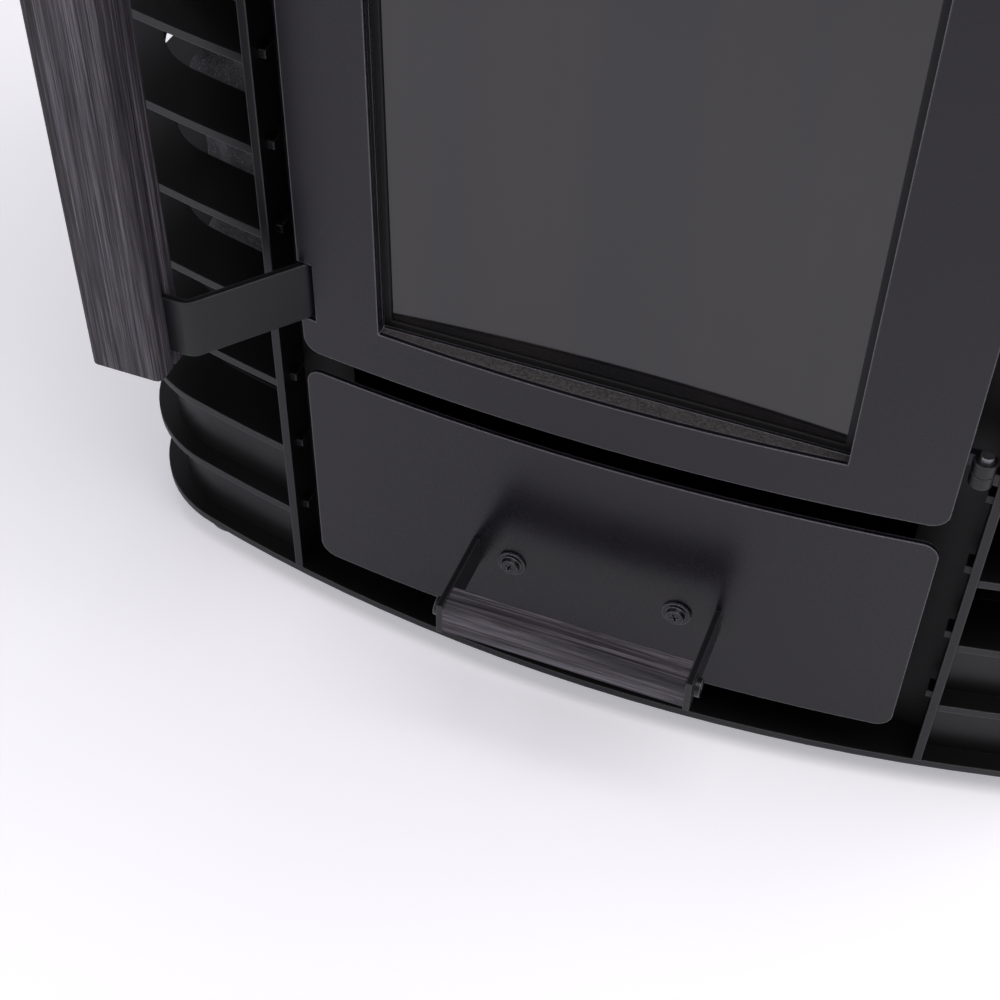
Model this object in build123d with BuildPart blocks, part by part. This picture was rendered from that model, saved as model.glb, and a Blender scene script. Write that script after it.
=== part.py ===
from build123d import *
from math import sqrt
import os
import random

# A wood-burning sauna stove: a plate cage round a firebox, with a hinged glass door and an ash drawer.
# Millimetres. The floor is at z = 0, +Z is up, and the front of the stove faces -Y.

# Cage of flat plates
cage_depth = 480.0
cage_half_width = 276.0
front_radius = 884.0
corner_radius = 70.0
plate_thickness = 4.0
plate_pitch = 44.0
band_width = 30.0
door_level = 12
top_level = 17

# Feet under the base plate
base_height = 20.0
foot_radius = 15.0
foot_pad_height = 9.0
foot_side_inset = 55.0
foot_inset = 52.0
stud_radius = 5.0
stud_height = 26.0
thread_clearance = 0.05
nut_across_flats = 17.0
nut_height = 5.0

# Flank plates beside the door, and the upright ribs
flank_x = 164.0
flank_depth = 58.0
flank_thickness = 4.0
tab_length = 8.0
tab_set_back = 7.0
tab_reach = 3.0
rib_width = 20.0
rib_set_back = 6.0
rib_thickness = 4.0
rib_side_positions = (0.33, 0.72)
rib_rear_x = 120.0
rib_front_x = 100.0

# Curved front panels of the door and the ash drawer
panel_radius = 1135.0
panel_set_back = 2.7
panel_half_width = 147.5
panel_thickness = 2.5
panel_corner = 8.0
drawer_bottom = 42.5
drawer_height = 126.5
panel_gap = 12.0
door_height = 351.0

# Opening in the door and the glass behind it
opening_left = 108.0
opening_right = 102.5
opening_rim = 25.0
frame_half_width = 129.0
frame_margin = 3.0
frame_clearance = 0.4
frame_thickness = 2.0
lip_depth = 18.0
lip_thickness = 2.5
reveal_thickness = 2.0
glass_overlap = 5.0
glass_thickness = 4.0
seal_thickness = 1.0
seal_show = 3.5
door_seal_width = 7.0
clip_width = 22.0
clip_reach = 6.0
clip_thickness = 2.0
clip_spacing = 130.0
clip_screw_radius = 1.5
clip_screw_head = 2.8

# Hinges at the door's right edge
hinge_x = 154.5
hinge_set_back = 16.0
hinge_boss = 5.0
hinge_pin_radius = 3.0
hinge_clearance = 0.05
lug_thickness = 6.0
lug_gap = 0.5
hinge_inset = 34.0

# Door handle
arm_height = 30.0
arm_thickness = 3.0
arm_inset = 20.0
arm_bend_x = 179.0
arm_leg = 31.0
arm_cross_x = 145.0
arm_bend_radius = 6.0
grip_width = 35.0
grip_side_x = 190.0
grip_front = 42.0
grip_thickness = 24.0
grip_groove_set_back = 29.5
grip_groove_depth = 25.0
grip_inset = 9.0
grip_round = 3.5
grip_screw_radius = 2.5
grip_screw_head = 4.5

# Drawer handle
ear_x = 60.0
ear_thickness = 3.0
ear_reach = 41.0
ear_bottom = 78.0
ear_height = 18.5
bar_depth = 15.0
bar_height = 17.0
bar_round = 1.5
bracket_height = 34.0
bracket_margin = 12.0
panel_screw_x = 41.0
panel_screw_z = 88.5
panel_screw_radius = 3.0
panel_screw_flange = 6.9
panel_screw_head = 4.7
screw_clearance = 0.25
bar_screw_radius = 2.5
bar_screw_head = 4.5

# Face plate, ash box and drawer tray
face_set_back = 36.0
face_thickness = 5.0
ash_half_width = 135.0
ash_floor = 48.0
ash_wall = 2.0
ash_leg_width = 20.0
ash_leg_inset = 30.0
tray_clearance = 8.0
tray_depth = 290.0
tray_height = 78.0
tray_wall = 1.5
slide_gap = 0.3

# Firebox
fire_half_width = 150.0
fire_wall = 5.0
fire_floor = 170.0
fire_back = 360.0
brick_thickness = 25.0
brick_height = 220.0
grate_width = 140.0
grate_length = 200.0
grate_thickness = 14.0
grate_bars = 9
baffle_height = 450.0
baffle_gap = 70.0
baffle_thickness = 12.0
bearer_size = 12.0
flue_radius = 60.5
flue_wall = 6.0
spigot_radius = 57.5
spigot_length = 30.0
flue_set_back = 250.0
flue_top = 800.0

# Stone space
jacket_inset = 10.0
jacket_wall = 2.0
shelf_level = 2
shelf_thickness = 3.0
stone_gap = 2.5
stone_layers = 5
stone_side_rows = 4
stone_top_layers = 2
stone_top_columns = 7
stone_top_rows = 6
stone_seed = 7

# Worked out from the sizes above
foot_x = cage_half_width - foot_side_inset
front_y = -(cage_depth - grip_front) / 2
rear_y = front_y + cage_depth
base_top = base_height
base_bottom = base_top - plate_thickness
door_bottom = drawer_bottom + drawer_height + panel_gap
door_top = door_bottom + door_height
opening_bottom = door_bottom + opening_rim
opening_top = door_top - opening_rim
panel_centre_y = front_y + panel_set_back + panel_radius
frame_arc = panel_radius - panel_thickness
frame_y = panel_centre_y - sqrt(frame_arc**2 - frame_half_width**2) + frame_clearance
frame_back_y = frame_y + frame_thickness
lip_back_y = frame_back_y + lip_depth
face_y = front_y + face_set_back
face_back_y = face_y + face_thickness
seal_back_y = frame_back_y + seal_thickness
glass_back_y = seal_back_y + glass_thickness
hinge_y = front_y + hinge_set_back
shelf_top = base_top + shelf_level * plate_pitch
fire_back_y = front_y + fire_back
flue_y = front_y + flue_set_back
inner_half_width = cage_half_width - band_width
flank_outer = flank_x + flank_thickness / 2
flank_inner = flank_x - flank_thickness / 2
flank_top = base_top + door_level * plate_pitch - plate_thickness
top_plate_top = base_top + top_level * plate_pitch
fire_top = flank_top
os.makedirs("parts", exist_ok=True)


def save(piece, name):
    piece.part.label = name
    export_step(piece.part, "parts/" + name + ".step")


def rim_y(x):
    # The front edge of every cage plate at a given x
    return front_y + front_radius - sqrt(front_radius**2 - x**2)


def panel_y(x, depth=0.0):
    # The surface of the curved panels at a given x, depth behind their front
    return panel_centre_y - sqrt((panel_radius - depth) ** 2 - x**2)


def cage_face(inset):
    # The cage's outline seen from above: a bowed front, straight sides and back, round corners
    with BuildSketch() as face:
        with BuildLine():
            half = cage_half_width - inset
            arc = front_radius - inset
            side_y = front_y + front_radius - sqrt(arc**2 - half**2)
            RadiusArc((-half, side_y), (half, side_y), -arc)
            Polyline((half, side_y), (half, rear_y - inset), (-half, rear_y - inset), (-half, side_y))
        make_face()
        fillet(face.vertices(), corner_radius - inset)
    return face.sketch


def rib_places():
    side_inner = cage_half_width - rib_set_back - rib_width / 2
    rear = rear_y - rib_set_back - rib_width / 2
    places = []
    for share in rib_side_positions:
        y = front_y + share * cage_depth
        places += [(-side_inner, y, 0), (side_inner, y, 0)]
    places += [(-rib_rear_x, rear, 90), (rib_rear_x, rear, 90)]
    return places


def front_rib_places():
    y = rim_y(rib_front_x) + rib_set_back + rib_width / 2
    return [(-rib_front_x, y, 90), (rib_front_x, y, 90)]


def rib_sections(places, mode):
    for x, y, turn in places:
        with Locations((x, y)):
            Rectangle(rib_width, rib_thickness, rotation=turn, mode=mode)


def tab_y():
    return rim_y(flank_x) + tab_set_back + tab_length / 2


# Base plate
foot_spots = {
    "foot_front_left": (-foot_x, front_y + foot_inset),
    "foot_front_right": (foot_x, front_y + foot_inset),
    "foot_rear_left": (-foot_x, rear_y - foot_inset),
    "foot_rear_right": (foot_x, rear_y - foot_inset),
}
with BuildPart() as base_plate:
    with BuildSketch(Plane.XY.offset(base_bottom)) as base_outline:
        add(cage_face(0))
    extrude(amount=plate_thickness)
    with BuildSketch(Plane.XY.offset(base_bottom)):
        with Locations(*foot_spots.values()):
            Circle(stud_radius + thread_clearance)
    extrude(amount=plate_thickness, mode=Mode.SUBTRACT)
save(base_plate, "base_plate")

# Levelling feet: a round pad with a rolled lower edge on a stud that screws through the base plate
for name, spot in foot_spots.items():
    with BuildPart() as foot:
        with BuildSketch():
            with Locations(spot):
                Circle(foot_radius)
        extrude(amount=foot_pad_height)
        chamfer(foot.edges().group_by(Axis.Z)[0], 1.5)
        with BuildSketch(Plane.XY.offset(foot_pad_height)):
            with Locations(spot):
                Circle(stud_radius)
        extrude(amount=stud_height)
    save(foot, name)

# Nuts that lock the studs under the base plate
with BuildPart() as foot_nuts:
    with BuildSketch(Plane.XY.offset(base_bottom - nut_height)):
        with Locations(*foot_spots.values()):
            RegularPolygon(nut_across_flats / 2, 6, major_radius=False)
            Circle(stud_radius + thread_clearance, mode=Mode.SUBTRACT)
    extrude(amount=nut_height)
save(foot_nuts, "foot_nuts")

# Flank plates: upright, beside the door and drawer, with a slot for each plate's tab
for side, name in ((-1, "flank_left"), (1, "flank_right")):
    with BuildPart() as flank:
        with BuildSketch(Plane.YZ.offset(side * flank_x - flank_thickness / 2)):
            front = rim_y(flank_x)
            depth = front_y + flank_depth - front
            with Locations((front + depth / 2, (base_top + flank_top) / 2)):
                Rectangle(depth, flank_top - base_top)
            for level in range(1, door_level):
                with Locations((tab_y(), base_top + level * plate_pitch - plate_thickness / 2)):
                    Rectangle(tab_length, plate_thickness, mode=Mode.SUBTRACT)
        extrude(amount=flank_thickness)
    save(flank, name)

# Cage plates beside the door: open at the front, with a tab through each flank plate
for level in range(1, door_level):
    with BuildPart() as cage_plate:
        with BuildSketch(Plane.XY.offset(base_top + level * plate_pitch - plate_thickness)):
            add(cage_face(0))
            add(cage_face(band_width), mode=Mode.SUBTRACT)
            with Locations((0, front_y + flank_depth)):
                Rectangle(2 * flank_outer, 2 * flank_depth, mode=Mode.SUBTRACT)
            rib_sections(rib_places(), Mode.SUBTRACT)
            tab_middle = flank_outer - (flank_thickness + tab_reach) / 2
            with Locations((-tab_middle, tab_y()), (tab_middle, tab_y())):
                Rectangle(flank_thickness + tab_reach, tab_length)
        extrude(amount=plate_thickness)
    save(cage_plate, "cage_plate_%02d" % level)

# Cage rings above the door: closed all the way round
for level in range(door_level, top_level + 1):
    with BuildPart() as cage_ring:
        with BuildSketch(Plane.XY.offset(base_top + level * plate_pitch - plate_thickness)):
            add(cage_face(0))
            add(cage_face(band_width), mode=Mode.SUBTRACT)
            rib_sections(rib_places(), Mode.SUBTRACT)
            if level > door_level:
                rib_sections(front_rib_places(), Mode.SUBTRACT)
        extrude(amount=plate_thickness)
    save(cage_ring, "cage_ring_%02d" % level)

# Upright ribs that the plates are threaded on
with BuildPart() as cage_ribs:
    with BuildSketch(Plane.XY.offset(base_top)):
        rib_sections(rib_places(), Mode.ADD)
    extrude(amount=top_plate_top - base_top)
    with BuildSketch(Plane.XY.offset(flank_top + plate_thickness)):
        rib_sections(front_rib_places(), Mode.ADD)
    extrude(amount=top_plate_top - flank_top - plate_thickness)
save(cage_ribs, "cage_ribs")

# Smooth wall behind the edges of the lowest plates, one tier between each two plates
with BuildPart() as lower_jacket:
    for level in range(shelf_level):
        with BuildSketch(Plane.XY.offset(base_top + level * plate_pitch)):
            add(cage_face(jacket_inset))
            add(cage_face(jacket_inset + jacket_wall), mode=Mode.SUBTRACT)
            with Locations((0, front_y + flank_depth)):
                Rectangle(2 * flank_outer, 2 * flank_depth, mode=Mode.SUBTRACT)
            rib_sections(rib_places(), Mode.SUBTRACT)
        extrude(amount=plate_pitch - plate_thickness)
save(lower_jacket, "lower_jacket")

# Shelf that carries the stones beside and behind the firebox
with BuildPart() as stone_shelf:
    with BuildSketch(Plane.XY.offset(shelf_top - shelf_thickness)):
        add(cage_face(band_width))
        with Locations((0, front_y)):
            Rectangle(2 * flank_outer, 2 * flank_depth, mode=Mode.SUBTRACT)
        with Locations((0, (front_y + fire_back_y) / 2)):
            Rectangle(2 * ash_half_width + 2 * ash_wall, fire_back, mode=Mode.SUBTRACT)
    extrude(amount=shelf_thickness)
save(stone_shelf, "stone_shelf")

# Face plate with the fire opening and the drawer opening
fire_opening_bottom = opening_bottom - 4
with BuildPart() as face_plate:
    with BuildSketch(Plane.XZ.offset(-face_y)):
        with Locations((0, (base_top + flank_top) / 2)):
            Rectangle(2 * flank_inner, flank_top - base_top)
        with Locations((0, (ash_floor + ash_wall + fire_floor) / 2)):
            Rectangle(2 * ash_half_width, fire_floor - ash_floor - ash_wall, mode=Mode.SUBTRACT)
        with Locations(((opening_right - opening_left) / 2, (fire_opening_bottom + opening_top) / 2)):
            Rectangle(opening_left + opening_right, opening_top - fire_opening_bottom, mode=Mode.SUBTRACT)
    extrude(amount=-face_thickness)
save(face_plate, "face_plate")

# Ash box: a channel under the firebox that the drawer slides in, on two bearers across the base plate
ash_back_y = face_back_y + tray_depth + 20
with BuildPart() as ash_box:
    with BuildSketch(Plane.XZ.offset(-face_back_y)):
        with Locations((0, (ash_floor + fire_floor) / 2)):
            Rectangle(2 * ash_half_width + 2 * ash_wall, fire_floor - ash_floor)
        with Locations((0, (ash_floor + ash_wall + fire_floor) / 2)):
            Rectangle(2 * ash_half_width, fire_floor - ash_floor - ash_wall, mode=Mode.SUBTRACT)
    extrude(amount=-(ash_back_y - face_back_y))
    with BuildSketch(Plane.XZ.offset(-ash_back_y)):
        with Locations((0, (ash_floor + fire_floor) / 2)):
            Rectangle(2 * ash_half_width + 2 * ash_wall, fire_floor - ash_floor)
    extrude(amount=-ash_wall)
    with BuildSketch(Plane.XY.offset(base_top)):
        with Locations((0, face_back_y + ash_leg_inset), (0, ash_back_y - ash_leg_inset)):
            Rectangle(2 * ash_half_width, ash_leg_width)
    extrude(amount=ash_floor - base_top)
save(ash_box, "ash_box")

# Firebox floor with the grate's seat
grate_y = (face_back_y + fire_back_y) / 2
grate_lip = 6.0
with BuildPart() as firebox_floor:
    with BuildSketch(Plane.XY.offset(fire_floor)):
        with Locations((0, grate_y)):
            Rectangle(2 * fire_half_width, fire_back_y - face_back_y)
            Rectangle(grate_width - 2 * grate_lip, grate_length - 2 * grate_lip, mode=Mode.SUBTRACT)
    extrude(amount=fire_wall)
save(firebox_floor, "firebox_floor")

# Firebox shell: two sides, back and top, open towards the door, with the flue hole and the baffle's bearers
shell_bottom = fire_floor + fire_wall
baffle_depth = fire_back_y - fire_wall - face_back_y - baffle_gap
baffle_y = fire_back_y - fire_wall - baffle_depth / 2
with BuildPart() as firebox_shell:
    with BuildSketch(Plane.XY.offset(shell_bottom)):
        with Locations((0, grate_y)):
            Rectangle(2 * fire_half_width, fire_back_y - face_back_y)
    extrude(amount=fire_top - shell_bottom)
    with BuildSketch(Plane.XY.offset(shell_bottom)):
        with Locations((0, grate_y - fire_wall / 2)):
            Rectangle(2 * (fire_half_width - fire_wall), fire_back_y - face_back_y - fire_wall)
    extrude(amount=fire_top - fire_wall - shell_bottom, mode=Mode.SUBTRACT)
    with BuildSketch(Plane.XY.offset(fire_top - fire_wall)):
        with Locations((0, flue_y)):
            Circle(flue_radius)
    extrude(amount=fire_wall, mode=Mode.SUBTRACT)
    with BuildSketch(Plane.XY.offset(baffle_height - bearer_size)):
        bearer_x = fire_half_width - fire_wall - bearer_size / 2
        with Locations((-bearer_x, baffle_y), (bearer_x, baffle_y)):
            Rectangle(bearer_size, baffle_depth)
    extrude(amount=bearer_size)
save(firebox_shell, "firebox_shell")

# Flue tube through the stones, with a spigot on top that the chimney pipe slips over
with BuildPart() as flue_tube:
    with BuildSketch(Plane.XY.offset(fire_top - fire_wall)):
        with Locations((0, flue_y)):
            Circle(flue_radius)
            Circle(flue_radius - flue_wall, mode=Mode.SUBTRACT)
    extrude(amount=flue_top - spigot_length - fire_top + fire_wall)
    with BuildSketch(Plane.XY.offset(flue_top - spigot_length)):
        with Locations((0, flue_y)):
            Circle(spigot_radius)
            Circle(flue_radius - flue_wall, mode=Mode.SUBTRACT)
    extrude(amount=spigot_length)
save(flue_tube, "flue_tube")

# Cast grate: a frame with straight bars
with BuildPart() as grate:
    with BuildSketch(Plane.XY.offset(shell_bottom)):
        with Locations((0, grate_y)):
            Rectangle(grate_width, grate_length)
            bar_pitch = (grate_width - 4 * grate_lip) / grate_bars
            with GridLocations(bar_pitch, 0, grate_bars, 1):
                SlotOverall(grate_length - 5 * grate_lip, bar_pitch / 2, rotation=90, mode=Mode.SUBTRACT)
    extrude(amount=grate_thickness)
save(grate, "grate")

# Fire bricks that line the firebox
brick_x = fire_half_width - fire_wall
brick_length = fire_back_y - fire_wall - brick_thickness - face_back_y
for side, name in ((-1, "brick_left"), (1, "brick_right")):
    with BuildPart() as brick:
        with BuildSketch(Plane.XY.offset(shell_bottom)):
            with Locations((side * (brick_x - brick_thickness / 2), face_back_y + brick_length / 2)):
                Rectangle(brick_thickness, brick_length)
        extrude(amount=brick_height)
        chamfer(brick.edges().filter_by(Axis.Y).group_by(Axis.Z)[-1], 3)
    save(brick, name)
with BuildPart() as brick_rear:
    with BuildSketch(Plane.XY.offset(shell_bottom)):
        with Locations((0, fire_back_y - fire_wall - brick_thickness / 2)):
            Rectangle(2 * brick_x, brick_thickness)
    extrude(amount=brick_height)
    chamfer(brick_rear.edges().filter_by(Axis.X).group_by(Axis.Z)[-1].sort_by(Axis.Y)[0], 3)
save(brick_rear, "brick_rear")

# Baffle over the fire, resting on the shell's two bearers
with BuildPart() as baffle:
    with BuildSketch(Plane.XY.offset(baffle_height)):
        with Locations((0, baffle_y)):
            Rectangle(2 * brick_x, baffle_depth)
    extrude(amount=baffle_thickness)
save(baffle, "baffle")


def curved_panel(bottom, height, corner):
    # A sheet rolled to the panel radius, cut to a rectangle with round corners
    reach = panel_half_width + 12
    with BuildPart() as panel:
        with BuildSketch(Plane.XY.offset(bottom - corner)):
            with BuildLine():
                RadiusArc((-reach, panel_y(reach)), (reach, panel_y(reach)), -panel_radius)
                Line((reach, panel_y(reach)), (reach, panel_y(reach) + panel_thickness))
                back = panel_y(reach) + panel_thickness
                RadiusArc((reach, back), (-reach, back), panel_radius - panel_thickness)
                Line((-reach, back), (-reach, panel_y(reach)))
            make_face()
        extrude(amount=height + 2 * corner)
        with BuildSketch(Plane.XZ.offset(-front_y + face_set_back)):
            with Locations((0, bottom + height / 2)):
                RectangleRounded(2 * panel_half_width, height, corner)
        extrude(amount=-2 * face_set_back, mode=Mode.INTERSECT)
    return panel.part


# Ash drawer front with slots for the handle's ears and holes for its screws
with BuildPart() as drawer_front:
    add(curved_panel(drawer_bottom, drawer_height, panel_corner))
    with BuildSketch(Plane.XZ.offset(-front_y + face_set_back)):
        with Locations((-ear_x, ear_bottom + ear_height / 2), (ear_x, ear_bottom + ear_height / 2)):
            Rectangle(ear_thickness, ear_height)
        with Locations((-panel_screw_x, panel_screw_z), (panel_screw_x, panel_screw_z)):
            Circle(panel_screw_radius + screw_clearance)
    extrude(amount=-2 * face_set_back, mode=Mode.SUBTRACT)
save(drawer_front, "drawer_front")

# Handle bracket: a back plate behind the panel with two ears that reach through it
tray_half = ash_half_width - tray_clearance
tray_front_y = panel_y(tray_half, panel_thickness)
bracket_y = tray_front_y - ear_thickness
bracket_centre_z = ear_bottom + ear_height / 2
with BuildPart() as drawer_bracket:
    with BuildSketch(Plane.XZ.offset(-bracket_y)):
        with Locations((0, bracket_centre_z)):
            Rectangle(2 * (ear_x + bracket_margin), bracket_height)
        with Locations((-panel_screw_x, panel_screw_z), (panel_screw_x, panel_screw_z)):
            Circle(panel_screw_radius + screw_clearance, mode=Mode.SUBTRACT)
    extrude(amount=-ear_thickness)
    with BuildSketch(Plane.XZ.offset(-bracket_y)):
        with Locations((-ear_x, bracket_centre_z), (ear_x, bracket_centre_z)):
            Rectangle(ear_thickness, ear_height)
    extrude(amount=bracket_y - front_y + ear_reach)
    with BuildSketch(Plane.YZ.offset(-ear_x - ear_thickness)):
        with Locations((front_y - ear_reach + bar_depth / 2, bracket_centre_z)):
            Circle(bar_screw_radius + screw_clearance)
    extrude(amount=2 * ear_x + 2 * ear_thickness, mode=Mode.SUBTRACT)
save(drawer_bracket, "drawer_bracket")

# Wooden bar between the ears
with BuildPart() as drawer_bar:
    with BuildSketch(Plane.YZ.offset(-ear_x + ear_thickness / 2)):
        with Locations((front_y - ear_reach + bar_depth / 2, bracket_centre_z)):
            RectangleRounded(bar_depth, bar_height, bar_round)
            Circle(bar_screw_radius, mode=Mode.SUBTRACT)
    extrude(amount=2 * ear_x - ear_thickness)
save(drawer_bar, "drawer_bar")

# Bolt that runs through both ears and the bar, with a round head at each end
with BuildPart() as bar_bolt:
    with BuildSketch(Plane.YZ.offset(-ear_x - ear_thickness / 2)) as bolt_section:
        with Locations((front_y - ear_reach + bar_depth / 2, bracket_centre_z)):
            Circle(bar_screw_radius)
    extrude(amount=2 * ear_x + ear_thickness)
    for side in (-1, 1):
        start = side * (ear_x + ear_thickness / 2)
        with BuildSketch(Plane.YZ.offset(start)):
            with Locations((front_y - ear_reach + bar_depth / 2, bracket_centre_z)):
                Circle(bar_screw_head)
        extrude(amount=side * 3.0)
        with BuildSketch(Plane.YZ.offset(start + side * 3.0)):
            with Locations((front_y - ear_reach + bar_depth / 2, bracket_centre_z)):
                RegularPolygon(1.6, 6)
        extrude(amount=-side * 1.6, mode=Mode.SUBTRACT)
save(bar_bolt, "bar_bolt")


# Two flanged cross-head screws that hold the panel, bracket and tray together
screw_seat_y = panel_y(panel_screw_x - panel_screw_flange)
with BuildPart() as panel_screws:
    for side in (-1, 1):
        spot = (side * panel_screw_x, panel_screw_z)
        with BuildSketch(Plane.XZ.offset(-screw_seat_y)):
            with Locations(spot):
                Circle(panel_screw_flange)
        extrude(amount=1.2)
        with BuildSketch(Plane.XZ.offset(-screw_seat_y + 1.2)):
            with Locations(spot):
                Circle(panel_screw_head)
        extrude(amount=2.6, taper=12)
        with BuildSketch(Plane.XZ.offset(-screw_seat_y)):
            with Locations(spot):
                Circle(panel_screw_radius)
        extrude(amount=-(tray_front_y + tray_wall + 4 - screw_seat_y))
        with BuildSketch(Plane.XZ.offset(-screw_seat_y + 3.8)):
            with Locations(spot):
                Rectangle(5.2, 1.1, rotation=20 * side)
                Rectangle(1.1, 5.2, rotation=20 * side)
        extrude(amount=-1.8, mode=Mode.SUBTRACT)
save(panel_screws, "panel_screws")

# Nuts on the panel screws, inside the tray
with BuildPart() as panel_nuts:
    with BuildSketch(Plane.XZ.offset(-(tray_front_y + tray_wall))):
        with Locations((-panel_screw_x, panel_screw_z), (panel_screw_x, panel_screw_z)):
            RegularPolygon(5.0, 6, major_radius=False)
            Circle(panel_screw_radius, mode=Mode.SUBTRACT)
    extrude(amount=-3.5)
save(panel_nuts, "panel_nuts")

# Ash tray: an open sheet box
tray_bottom = ash_floor + ash_wall + slide_gap
tray_rear_y = face_back_y + tray_depth
with BuildPart() as drawer_tray:
    with BuildSketch(Plane.XY.offset(tray_bottom)):
        with Locations((0, (tray_front_y + tray_rear_y) / 2)):
            Rectangle(2 * tray_half, tray_rear_y - tray_front_y)
    extrude(amount=tray_height)
    with BuildSketch(Plane.XY.offset(tray_bottom + tray_wall)):
        with Locations((0, (tray_front_y + tray_rear_y) / 2)):
            Rectangle(2 * (tray_half - tray_wall), tray_rear_y - tray_front_y - 2 * tray_wall)
    extrude(amount=tray_height, mode=Mode.SUBTRACT)
    with BuildSketch(Plane.XZ.offset(-tray_front_y)):
        with Locations((-panel_screw_x, panel_screw_z), (panel_screw_x, panel_screw_z)):
            Circle(panel_screw_radius + screw_clearance)
    extrude(amount=-tray_wall, mode=Mode.SUBTRACT)
save(drawer_tray, "drawer_tray")

# Curved door sheet with the window opening and two notches for the handle's arms
arm_zs = (door_bottom + arm_inset, door_top - arm_inset - arm_height)
arm_slope = (grip_groove_set_back + panel_set_back + 9.8) / (arm_bend_x - arm_cross_x)
notch_inner = arm_cross_x - 5.0
notch_margin = 1.0
opening_centre_x = (opening_right - opening_left) / 2
opening_width = opening_left + opening_right
opening_centre_z = (opening_bottom + opening_top) / 2
with BuildPart() as door_sheet:
    add(curved_panel(door_bottom, door_height, panel_corner))
    with BuildSketch(Plane.XZ.offset(-front_y + face_set_back)):
        with Locations((opening_centre_x, opening_centre_z)):
            Rectangle(opening_width, opening_top - opening_bottom)
        for z in arm_zs:
            with Locations((-panel_half_width, z + arm_height / 2)):
                Rectangle(2 * (panel_half_width - notch_inner), arm_height + 2 * notch_margin)
    extrude(amount=-2 * face_set_back, mode=Mode.SUBTRACT)
save(door_sheet, "door_sheet")

# Reveal: the lining of the window opening, from the curved sheet back to the flat frame
with BuildPart() as door_reveal:
    with BuildSketch(Plane.XZ.offset(-frame_y)):
        with Locations((opening_centre_x, opening_centre_z)):
            Rectangle(
                opening_width + 2 * reveal_thickness, opening_top - opening_bottom + 2 * reveal_thickness
            )
            Rectangle(opening_width, opening_top - opening_bottom, mode=Mode.SUBTRACT)
    extrude(amount=frame_y - front_y)
    with BuildSketch(Plane.XY.offset(door_bottom)):
        with Locations((0, panel_centre_y)):
            Circle(panel_radius - panel_thickness)
    extrude(amount=door_height, mode=Mode.INTERSECT)
save(door_reveal, "door_reveal")

# Flat door frame with a lip all round, which holds the seal
frame_height = door_height - 2 * frame_margin
with BuildPart() as door_frame:
    with BuildSketch(Plane.XZ.offset(-frame_y)):
        with Locations((0, opening_centre_z)):
            Rectangle(2 * frame_half_width, frame_height)
        with Locations((opening_centre_x, opening_centre_z)):
            Rectangle(opening_width, opening_top - opening_bottom, mode=Mode.SUBTRACT)
    extrude(amount=-frame_thickness)
    with BuildSketch(Plane.XZ.offset(-frame_back_y)):
        with Locations((0, opening_centre_z)):
            Rectangle(2 * frame_half_width, frame_height)
            Rectangle(
                2 * (frame_half_width - lip_thickness), frame_height - 2 * lip_thickness, mode=Mode.SUBTRACT
            )
    extrude(amount=-lip_depth)
save(door_frame, "door_frame")

# Flat seal between the frame and the glass, which shows as a dark strip round the glass
glass_width = opening_width + 2 * glass_overlap
glass_height = opening_top - opening_bottom + 2 * glass_overlap
with BuildPart() as glass_seal:
    with BuildSketch(Plane.XZ.offset(-frame_back_y)):
        with Locations((opening_centre_x, opening_centre_z)):
            Rectangle(glass_width, glass_height)
            seal_inner_height = opening_top - opening_bottom - 2 * seal_show
            Rectangle(opening_width - 2 * seal_show, seal_inner_height, mode=Mode.SUBTRACT)
    extrude(amount=-seal_thickness)
save(glass_seal, "glass_seal")

# Flat heat-proof glass
with BuildPart() as door_glass:
    with BuildSketch(Plane.XZ.offset(-seal_back_y)):
        with Locations((opening_centre_x, opening_centre_z)):
            Rectangle(glass_width, glass_height)
    extrude(amount=-glass_thickness)
    chamfer(door_glass.edges().group_by(Axis.Y)[0], 0.6)
save(door_glass, "door_glass")

# Clips that press the glass on its seal, at its top and bottom edges
clip_spots = [
    (opening_centre_x + sx * clip_spacing / 2, sz)
    for sx in (-1, 1)
    for sz in (-1, 1)
]
with BuildPart() as glass_clips:
    for x, sz in clip_spots:
        edge = opening_centre_z + sz * glass_height / 2
        with BuildSketch(Plane.XZ.offset(-glass_back_y)):
            with Locations((x, edge)):
                Rectangle(clip_width, 2 * clip_reach)
            with Locations((x, edge + sz * clip_reach / 2)):
                Circle(clip_screw_radius, mode=Mode.SUBTRACT)
        extrude(amount=-clip_thickness)
        with BuildSketch(Plane.XZ.offset(-frame_back_y)):
            with Locations((x, edge + sz * (clip_reach / 2 + 0.5))):
                Rectangle(clip_width, clip_reach - 1)
            with Locations((x, edge + sz * clip_reach / 2)):
                Circle(clip_screw_radius, mode=Mode.SUBTRACT)
        extrude(amount=-(glass_back_y - frame_back_y))
save(glass_clips, "glass_clips")

# Screws through the clips into the frame
with BuildPart() as clip_screws:
    for x, sz in clip_spots:
        z = opening_centre_z + sz * (glass_height + clip_reach) / 2
        with BuildSketch(Plane.XZ.offset(-frame_back_y)):
            with Locations((x, z)):
                Circle(clip_screw_radius)
        extrude(amount=-(glass_back_y + clip_thickness - frame_back_y))
        with BuildSketch(Plane.XZ.offset(-glass_back_y - clip_thickness)):
            with Locations((x, z)):
                Circle(clip_screw_head)
        extrude(amount=-2.2)
save(clip_screws, "clip_screws")

# Door seal rope inside the frame's lip, just short of the face plate
seal_half = frame_half_width - lip_thickness
seal_height = frame_height - 2 * lip_thickness
with BuildPart() as door_seal:
    with BuildSketch(Plane.XZ.offset(-frame_back_y)):
        with Locations((0, opening_centre_z)):
            Rectangle(2 * seal_half, seal_height)
            Rectangle(
                2 * (seal_half - door_seal_width), seal_height - 2 * door_seal_width, mode=Mode.SUBTRACT
            )
    extrude(amount=-(face_y - slide_gap - frame_back_y))
save(door_seal, "door_seal")

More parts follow.
